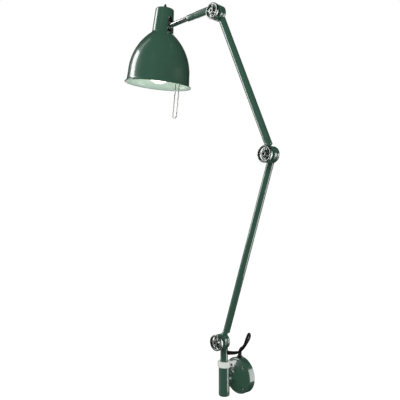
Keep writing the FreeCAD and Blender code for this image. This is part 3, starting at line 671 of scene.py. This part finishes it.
class WALLLAMP_OT_knuckles(bpy.types.Operator):
    """Cast halves of the three knuckles, with their bolts and washers"""
    bl_idname = "wall_lamp.knuckles"
    bl_label = "Knuckles"

    def execute(self, context):
        for node, body in CASTINGS:
            made = piece(node + "_casting", cad_form(node), body,
                         finish("enamel"), [node])
            soften(made, sizes().cast_grain, CASTING_PASSES)
        for name, near, far in BOLT_BODIES:
            piece(name + "_bolt_turned", cad_form(name + "_bolt"), near,
                  finish("zinc"), [name + "_bolt"])
            piece(name + "_fibre_ring", cad_form(name + "_friction_washer"), near,
                  finish("fibre"), [name + "_friction_washer"])
            piece(name + "_thrust_ring", cad_form(name + "_thrust_washer"), far,
                  finish("zinc"), [name + "_thrust_washer"])
        return {"FINISHED"}


class WALLLAMP_OT_handwheels(bpy.types.Operator):
    """Spoked handwheels that clamp the knuckles"""
    bl_idname = "wall_lamp.handwheels"
    bl_label = "Handwheels"

    def execute(self, context):
        for name in ("lower", "middle", "top"):
            node = name + "_handwheel"
            made = piece(node + "_casting", cad_form(node), node,
                         finish("alloy"), [node])
            soften(made, sizes().cast_grain * WHEEL_GRAIN_SHARE, WHEEL_PASSES)
        return {"FINISHED"}


TUBE_WALL = 1.2
TUBE_START = 30
TUBE_EDGE = 0.4
PIN_BORE = 4
PIN_RADIUS = 8.25
PIN_FOOT = -26
PIN_TOP = 64
PIN_OUTLINE = [(PIN_BORE, PIN_FOOT), (PIN_RADIUS, PIN_FOOT, 0.5), (PIN_RADIUS, PIN_TOP),
               (PIN_BORE, PIN_TOP)]
# Tube, body, frame, radius and distance between the hinges at its ends.
ARMS = (("lower_arm_tube", "lower_arm", LOWER_ARM, 7.5, 418),
        ("upper_arm_tube", "upper_arm", UPPER_ARM, 8.0, 352))


class WALLLAMP_OT_arms(bpy.types.Operator):
    """Arm tubes and the hollow swivel pin"""
    bl_idname = "wall_lamp.arms"
    bl_label = "Arm tubes"

    def execute(self, context):
        for node, body, place, radius, reach in ARMS:
            low, high, bore = TUBE_START, reach - TUBE_START, radius - TUBE_WALL
            outline = [(bore, low), (radius, low, TUBE_EDGE), (radius, high, TUBE_EDGE),
                       (bore, high)]
            piece(node + "_drawn", lathe(outline, place, SLIM_STEPS), body,
                  finish("enamel"), [node])
        piece("swivel_pin_turned", lathe(PIN_OUTLINE, SOCKET, SLIM_STEPS), "swivel",
              finish("enamel"), ["swivel_pin"])
        piece("pin_grommet", cad_form("cord_grommet"), "swivel",
              finish("rubber"), ["cord_grommet"])
        return {"FINISHED"}


# ---- rod and shade --------------------------------------------------------------------------
SLEEVE_BORE = 6.08
SLEEVE_RADIUS = 7.4
SLEEVE_START = 62
SLEEVE_END = 90
SLEEVE_OUTLINE = [(SLEEVE_BORE, SLEEVE_START), (SLEEVE_RADIUS, SLEEVE_START, 0.3),
                  (SLEEVE_RADIUS, SLEEVE_END, 0.5), (SLEEVE_BORE, SLEEVE_END)]
ROD_BORE = 3.5
ROD_RADIUS = 6
ROD_START = 23
BALL_START = 167.35
BALL_RADIUS = 14
ROD_OUTLINE = [(0, ROD_REACH), (ROD_BORE, ROD_REACH), (ROD_BORE, ROD_START),
               (ROD_RADIUS, ROD_START, 0.3), (ROD_RADIUS, BALL_START),
               ("arc", (BALL_RADIUS, ROD_REACH), (0, ROD_REACH + BALL_RADIUS))]


class WALLLAMP_OT_rod(bpy.types.Operator):
    """Chromed rod with its ball, and the lacquered sleeve"""
    bl_idname = "wall_lamp.rod"
    bl_label = "Rod"

    def execute(self, context):
        piece("rod_sleeve_turned", lathe(SLEEVE_OUTLINE, ROD, SLIM_STEPS), "head_arm",
              finish("enamel"), ["rod_sleeve"])
        piece("chrome_rod", lathe(ROD_OUTLINE, ROD), "shade_rod", finish("chrome"),
              ["shade_rod"])
        return {"FINISHED"}


SHADE_WALL = 1.2
SHADE_STEPS = 160
SHADE_SHARP = 40
SHADE_TOP = 47
SWITCH_HOLE = 4.4
RIM_RADIUS = 82.5
RIM_HEIGHT = -137
SHADE_OUTLINE = [(SWITCH_HOLE, SHADE_TOP), (22.5, SHADE_TOP, 3), (26.3, -8),
                 ("arc", (27.3, -11.5), (29.5, -14)), ("arc", (60, -50.5), (76.5, -112)),
                 (78, -129), ("arc", (79.55, -133.4), (RIM_RADIUS, RIM_HEIGHT))]
# The bead's centre lies inside and above the rim, by these shares of the bead's radius.
BEAD_IN = 0.5
BEAD_UP = 0.2
BEAD_SEAM = 0.001
SLOT_WIDTH = 14
SLOT_BOTTOM = -14
SLOT_TOP = 26
SLOT_CUT_DEPTH = 40
SLOT_CUT_MIDDLE = 32
SLOT_END_STEPS = 12
# Just under a half circle at each end of the slot, so that the rounds don't meet.
SLOT_END_SHARE = 0.999


def slot_cutter():
    """The upright slot, with round ends, that the rod passes through."""
    middle, height = (SLOT_TOP + SLOT_BOTTOM) / 2, SLOT_TOP - SLOT_BOTTOM
    bm = bmesh.new()
    bmesh.ops.create_cube(bm, size=1)
    bmesh.ops.scale(bm, vec=Vector((SLOT_CUT_DEPTH, SLOT_WIDTH, height)) * MM, verts=bm.verts)
    along = [edge for edge in bm.edges if edge.verts[0].co.x != edge.verts[1].co.x]
    bmesh.ops.bevel(bm, geom=along, offset=SLOT_WIDTH / 2 * SLOT_END_SHARE * MM,
                    offset_type="OFFSET", segments=SLOT_END_STEPS, profile=0.5,
                    affect="EDGES", material=-1)
    bmesh.ops.translate(bm, vec=Vector((SLOT_CUT_MIDDLE, 0, middle)) * MM, verts=bm.verts)
    bm.transform(SHADE)
    return bm


def bead_outline(bead):
    """A circle of that radius on the rim, as two arcs with a hair between their ends."""
    out, up = RIM_RADIUS - bead * BEAD_IN, RIM_HEIGHT + bead * BEAD_UP
    return [(out + bead, up), ("arc", (out, up + bead), (out - bead, up + BEAD_SEAM)),
            ("arc", (out, up - bead), (out + bead, up - BEAD_SEAM))]


class WALLLAMP_OT_shade(bpy.types.Operator):
    """Spun bell shade, enamelled pale inside, with a rolled rim"""
    bl_idname = "wall_lamp.shade"
    bl_label = "Shade"

    def execute(self, context):
        shade = piece("bell_shade", lathe(SHADE_OUTLINE, SHADE, SHADE_STEPS, closed=False),
                      "shade", finish("enamel"), ["shade"], SHADE_SHARP)
        # the open sheet's normals face in: turned out, so that the wall grows inwards
        shade.data.flip_normals()
        shade.data.materials.append(finish("lining"))
        wall = shade.modifiers.new("wall", "SOLIDIFY")
        wall.thickness = SHADE_WALL * MM
        wall.offset = -1
        wall.use_even_offset = True
        wall.material_offset = 1
        wall.material_offset_rim = 0
        settle(shade)
        carve(shade, slot_cutter())
        shade.data.set_sharp_from_angle(angle=math.radians(SHADE_SHARP))
        piece("rim_bead", lathe(bead_outline(sizes().rim_bead / MM), SHADE, SHADE_STEPS),
              "shade", finish("enamel"))
        return {"FINISHED"}


HOLDER_RADIUS = 20
HOLDER_BORE = 13.6
HOLDER_TOP = -21
HOLDER_FLOOR = -26
HOLDER_FOOT = -54
RIB_START = -26.0
RIB_END = -52
RIB_PITCH = 4.4
RIB_DEPTH = 0.8
RIB_EDGE = 0.3
# Drops from a rib's lower edge to the groove's floor, to the floor's end and to the next rib.
GROOVE = (0.8, 1.8, 2.6)
BULB_NECK = 13.2
BULB_OUTLINE = [(0, -29), (BULB_NECK, -29, 0.6), (BULB_NECK, -55),
                ("arc", (19.93, -75.29), (29.07, -95.58)),
                ("arc", (24.76, -119.94), (0, -133))]


def holder_outline():
    """Moulded holder with grip rings round its lower part."""
    path = [(0, HOLDER_TOP), (HOLDER_RADIUS, HOLDER_TOP, 0.8)]
    top, groove = RIB_START, HOLDER_RADIUS - RIB_DEPTH
    while top - RIB_PITCH > RIB_END:
        path += [(HOLDER_RADIUS, top, RIB_EDGE), (groove, top - GROOVE[0], RIB_EDGE),
                 (groove, top - GROOVE[1], RIB_EDGE), (HOLDER_RADIUS, top - GROOVE[2], RIB_EDGE)]
        top -= RIB_PITCH
    return path + [(HOLDER_RADIUS, HOLDER_FOOT, 2), (HOLDER_BORE, HOLDER_FOOT, 0.4),
                   (HOLDER_BORE, HOLDER_FLOOR), (0, HOLDER_FLOOR)]


class WALLLAMP_OT_lamp(bpy.types.Operator):
    """Lampholder with its opal bulb"""
    bl_idname = "wall_lamp.lamp"
    bl_label = "Lampholder and bulb"

    def execute(self, context):
        piece("holder_moulding", lathe(holder_outline(), SHADE), "shade",
              finish("phenolic"), ["lampholder"])
        piece("opal_bulb", lathe(BULB_OUTLINE, SHADE), "shade", finish("opal"),
              ["lamp_bulb"])
        return {"FINISHED"}


KNOB_BASE = 49.05
KNOB_TIP = 58.5
KNOB_OUTLINE = [(0, KNOB_BASE), (5, KNOB_BASE, 0.5), (4.1, 51.85, 0.8), (1.5, KNOB_TIP, 0.9),
                (0, KNOB_TIP)]
BUSH_STEPS = 48
BUSH_FOOT = 32.8
BUSH_SHOULDER = 45.6
BUSH_TOP = 48.9
BUSH_OUTLINE = [(0, BUSH_FOOT), (8, BUSH_FOOT, 0.6), (8, BUSH_SHOULDER, 0.3),
                (SWITCH_HOLE, BUSH_SHOULDER), (SWITCH_HOLE, BUSH_TOP, 0.3), (0, BUSH_TOP)]


class WALLLAMP_OT_switch(bpy.types.Operator):
    """Rotary switch on top of the neck, with its pointed knob"""
    bl_idname = "wall_lamp.switch"
    bl_label = "Switch"

    def execute(self, context):
        piece("switch_knob_turned", lathe(KNOB_OUTLINE, SHADE, SLIM_STEPS), "switch_knob",
              finish("phenolic"), ["switch_knob"])
        piece("switch_bush", lathe(BUSH_OUTLINE, SHADE, BUSH_STEPS), "shade",
              finish("phenolic"), ["switch_body"])
        return {"FINISHED"}


WIRE_RADIUS = 1.5
WIRE_REACH = 73.4
WIRE_HALF = 5.5
WIRE_TOP = -111.0
WIRE_TURN = -211.5
WIRE_STEPS = 24


def hairpin():
    """Round wire: down one leg, half a turn, and up the other."""
    bm = bmesh.new()
    made = bmesh.ops.create_circle(bm, cap_ends=False, segments=WIRE_STEPS,
                                  radius=WIRE_RADIUS * MM)
    bmesh.ops.translate(bm, vec=Vector((WIRE_REACH, -WIRE_HALF, WIRE_TOP)) * MM,
                        verts=made["verts"])
    first = bm.edges[:]

    def drawn(edges, rise):
        """Draw a ring of edges up by that rise; returns the ring at the far end."""
        grown = bmesh.ops.extrude_edge_only(bm, edges=edges)["geom"]
        verts = [item for item in grown if isinstance(item, bmesh.types.BMVert)]
        bmesh.ops.translate(bm, vec=Vector((0, 0, rise)) * MM, verts=verts)
        return [item for item in grown if isinstance(item, bmesh.types.BMEdge)
                and item.verts[0] in verts and item.verts[1] in verts]

    foot = drawn(first, WIRE_TURN - WIRE_TOP)
    turned = bmesh.ops.spin(bm, geom=foot, cent=Vector((WIRE_REACH, 0, WIRE_TURN)) * MM,
                            axis=(1, 0, 0), dvec=(0, 0, 0), angle=math.pi, steps=WIRE_STEPS,
                            use_merge=False, use_duplicate=False)
    end = [item for item in turned["geom_last"] if isinstance(item, bmesh.types.BMEdge)]
    last = drawn(end, WIRE_TOP - WIRE_TURN)
    for loop in (first, last):
        bmesh.ops.holes_fill(bm, edges=loop, sides=0)
    bmesh.ops.recalc_face_normals(bm, faces=bm.faces)
    bm.transform(SHADE)
    return bm


class WALLLAMP_OT_handle(bpy.types.Operator):
    """Hairpin handle of wire, with the clip that holds it"""
    bl_idname = "wall_lamp.handle"
    bl_label = "Handle"

    def execute(self, context):
        piece("handle_hairpin", hairpin(), "shade", finish("wire"), ["handle_wire"])
        piece("handle_bridge", cad_form("handle_clip"), "shade", finish("zinc"),
              ["handle_clip"])
        return {"FINISHED"}


HIDDEN_FINISHES = {"back_plate": "zinc", "terminal_block": "phenolic", "socket_liner": "nylon",
                   "ball_housing": "alloy", "upper_seat": "nylon", "lower_seat": "nylon",
                   "seat_spring": "zinc", "housing_cap": "alloy", "housing_ring": "alloy"}


class WALLLAMP_OT_inner_pieces(bpy.types.Operator):
    """Materials of the pieces inside, which keep their own form"""
    bl_idname = "wall_lamp.inner_pieces"
    bl_label = "Inner pieces"

    def execute(self, context):
        for node, name in HIDDEN_FINISHES.items():
            slots = frame["nodes"][node].data.materials
            slots.clear()
            slots.append(finish(name))
        return {"FINISHED"}


# ---- stage ----------------------------------------------------------------------------------
CAMERA_PLACE = (0.783, -0.7335, 0.380)
CAMERA_LOOK = (-0.7880, 0.6157, 0.0)
CAMERA_LENS = 42.48
CAMERA_SENSOR = 36.0
CAMERA_SHIFT = 0.015
FLOOR_HEIGHT = -1.3
FLOOR_SIZE = 14.0
WORLD_LIGHT = 0.6
FLOOR_LIFT = 0.50


def background_rays(tree):
    """1 for camera, glossy and transmission rays, which see the plain background."""
    path = add(tree, "ShaderNodeLightPath")
    either = add(tree, "ShaderNodeMath", {0: path.outputs["Is Camera Ray"],
                                          1: path.outputs["Is Glossy Ray"]},
                 operation="MAXIMUM")
    return add(tree, "ShaderNodeMath", {0: either.outputs[0],
                                        1: path.outputs["Is Transmission Ray"]},
               operation="MAXIMUM").outputs[0]


def studio_world():
    # An even grey room to light by, which looks plain white to the camera and in reflections.
    world = bpy.data.worlds.new("studio_room")
    world.use_nodes = True
    tree = world.node_tree
    tree.nodes.clear()
    seen = background_rays(tree)
    lit = add(tree, "ShaderNodeBackground", {"Color": rgba(from_hex("FFFFFF")),
                                             "Strength": WORLD_LIGHT})
    white = add(tree, "ShaderNodeBackground", {"Color": rgba(from_hex("FFFFFF")),
                                               "Strength": 1.0})
    both = add(tree, "ShaderNodeMixShader", {0: seen, 1: lit.outputs[0], 2: white.outputs[0]})
    add(tree, "ShaderNodeOutputWorld", {"Surface": both.outputs[0]})
    bpy.context.scene.world = world


def floor_paper():
    # Matt white background paper: pale, with the object's shadow kept under a small lift.
    made, tree, shader, where = surface("background_paper", Roughness=0.9)
    vary(tree, shader, where, from_hex("F6F6F5"), patch=0.5, darker=0.01)
    glow = add(tree, "ShaderNodeEmission", {"Color": rgba(from_hex("FFFFFF"))})
    lift = add(tree, "ShaderNodeMath", {0: background_rays(tree), 1: FLOOR_LIFT},
               operation="MULTIPLY")
    tree.links.new(lift.outputs[0], glow.inputs["Strength"])
    total = add(tree, "ShaderNodeAddShader", {0: shader.outputs[0], 1: glow.outputs[0]})
    out = tree.nodes["Material Output"]
    tree.links.new(total.outputs[0], out.inputs["Surface"])
    return made


def softbox(name, place, target, size, power, mirrored):
    light = bpy.data.lights.new(name, "AREA")
    light.shape = "RECTANGLE"
    light.size, light.size_y = size
    light.energy = power
    made = bpy.data.objects.new(name, light)
    bpy.context.scene.collection.objects.link(made)
    made.location = place
    made.rotation_mode = "QUATERNION"
    made.rotation_quaternion = (Vector(target) - Vector(place)).to_track_quat("-Z", "Y")
    made.visible_glossy = mirrored
    made.visible_diffuse = not mirrored


# Name, place, aim, width and height, watts, and whether it lights reflections or surfaces.
SOFTBOXES = (
    ("left_strip", (-1.14, -0.82, 1.00), (-0.20, -0.10, 0.85), (0.52, 1.30), 13.0, True),
    ("right_strip", (0.89, 0.80, 0.05), (0.05, -0.05, 0.15), (0.60, 1.30), 13.0, True),
    ("front_box", (0.90, -1.70, 1.70), (0.0, -0.05, 0.45), (0.80, 0.80), 26.0, False))

# Dark cloths round the set, for the reflections alone, as (from, to) in degrees about +Z:
# the gaps between them show the white room as upright lights along the tubes.
CLOTH_RADIUS = 2.2
CLOTH_LOW = -1.3
CLOTH_HIGH = 5.0
CLOTHS = ((-132, 130), (150, 210))
CLOTH_OFF_FLOOR = 0.01
CLOTH_STEPS = 24
CLOTH_SIDES = 48


def studio_cloth():
    # Black felt: dark and matt, with a slight mottle.
    made, tree, shader, where = surface("black_felt", Roughness=0.95)
    vary(tree, shader, where, from_hex("2A2C2B"), patch=0.2, darker=0.3)
    return made


def cloth(name, start, end, material):
    """An upright curved sheet that only reflections see."""
    bm = bmesh.new()
    low = Vector((CLOTH_RADIUS, 0, CLOTH_LOW))
    edge = [bm.verts.new(low), bm.verts.new(low + UP * (CLOTH_HIGH - CLOTH_LOW))]
    bm.edges.new(edge)
    bm.transform(Matrix.Rotation(math.radians(start), 4, "Z"))
    turn = math.radians(end - start)
    bmesh.ops.spin(bm, geom=bm.verts[:] + bm.edges[:], cent=(0, 0, 0), axis=(0, 0, 1),
                   dvec=(0, 0, 0), angle=turn, steps=CLOTH_STEPS, use_merge=False,
                   use_duplicate=False)
    hang(name, bm, material)


def level_cloth(name, height, material):
    """A level round sheet over or under the upright ones."""
    bm = bmesh.new()
    bmesh.ops.create_circle(bm, cap_ends=True, segments=CLOTH_SIDES, radius=CLOTH_RADIUS)
    bmesh.ops.translate(bm, vec=(0, 0, height), verts=bm.verts)
    hang(name, bm, material)


def hang(name, bm, material):
    mesh = bpy.data.meshes.new(name)
    bm.to_mesh(mesh)
    bm.free()
    mesh.materials.append(material)
    made = bpy.data.objects.new(name, mesh)
    bpy.context.scene.collection.objects.link(made)
    made.visible_camera = made.visible_diffuse = False
    made.visible_shadow = made.visible_transmission = False


class WALLLAMP_OT_stage(bpy.types.Operator):
    """White floor, studio light and the photograph's camera"""
    bl_idname = "wall_lamp.stage"
    bl_label = "Stage"

    def execute(self, context):
        scene = context.scene
        scene.view_settings.view_transform = "Standard"
        studio_world()
        bm = bmesh.new()
        bmesh.ops.create_grid(bm, x_segments=1, y_segments=1, size=FLOOR_SIZE / 2)
        bmesh.ops.translate(bm, vec=(0, 0, FLOOR_HEIGHT), verts=bm.verts)
        mesh = bpy.data.meshes.new("floor")
        bm.to_mesh(mesh)
        bm.free()
        mesh.materials.append(floor_paper())
        floor = bpy.data.objects.new("floor", mesh)
        scene.collection.objects.link(floor)
        for row in SOFTBOXES:
            softbox(*row)
        felt = studio_cloth()
        for index, (start, end) in enumerate(CLOTHS):
            cloth(f"cloth_{index}", start, end, felt)
        level_cloth("cloth_above", CLOTH_HIGH, felt)
        level_cloth("cloth_below", CLOTH_LOW + CLOTH_OFF_FLOOR, felt)
        lens = bpy.data.cameras.new("photo_camera")
        lens.lens = CAMERA_LENS
        lens.sensor_width = CAMERA_SENSOR
        lens.shift_y = CAMERA_SHIFT
        camera = bpy.data.objects.new("photo_camera", lens)
        scene.collection.objects.link(camera)
        camera.location = CAMERA_PLACE
        camera.rotation_mode = "QUATERNION"
        camera.rotation_quaternion = Vector(CAMERA_LOOK).to_track_quat("-Z", "Y")
        scene.camera = camera
        return {"FINISHED"}


# ---- panel and run --------------------------------------------------------------------------
OPERATORS = (WALLLAMP_OT_stage, WALLLAMP_OT_cord, WALLLAMP_OT_wall_plate, WALLLAMP_OT_socket,
             WALLLAMP_OT_knuckles, WALLLAMP_OT_handwheels, WALLLAMP_OT_arms, WALLLAMP_OT_rod,
             WALLLAMP_OT_shade, WALLLAMP_OT_lamp, WALLLAMP_OT_switch, WALLLAMP_OT_handle,
             WALLLAMP_OT_inner_pieces)


class WALLLAMP_PT_panel(bpy.types.Panel):
    bl_idname = "WALLLAMP_PT_panel"
    bl_label = "Wall Lamp"
    bl_space_type = "VIEW_3D"
    bl_region_type = "UI"
    bl_category = "Wall Lamp"

    def draw(self, context):
        for group in (sizes(), colours()):
            for name in group.bl_rna.properties.keys():
                if name not in ("rna_type", "name"):
                    self.layout.prop(group, name)
        for operator in OPERATORS:
            self.layout.operator(operator.bl_idname)


CLASSES = (LampColours, LampSizes, *OPERATORS, WALLLAMP_PT_panel)


def register():
    for cls in CLASSES:
        bpy.utils.register_class(cls)
    bpy.types.Scene.wall_lamp_colours = PointerProperty(type=LampColours)
    bpy.types.Scene.wall_lamp_sizes = PointerProperty(type=LampSizes)


def unregister():
    del bpy.types.Scene.wall_lamp_sizes
    del bpy.types.Scene.wall_lamp_colours
    for cls in reversed(CLASSES):
        bpy.utils.unregister_class(cls)


def main():
    register()
    for operator in OPERATORS:
        group, name = operator.bl_idname.split(".")
        getattr(getattr(bpy.ops, group), name)()


if __name__ == "__main__":
    main()
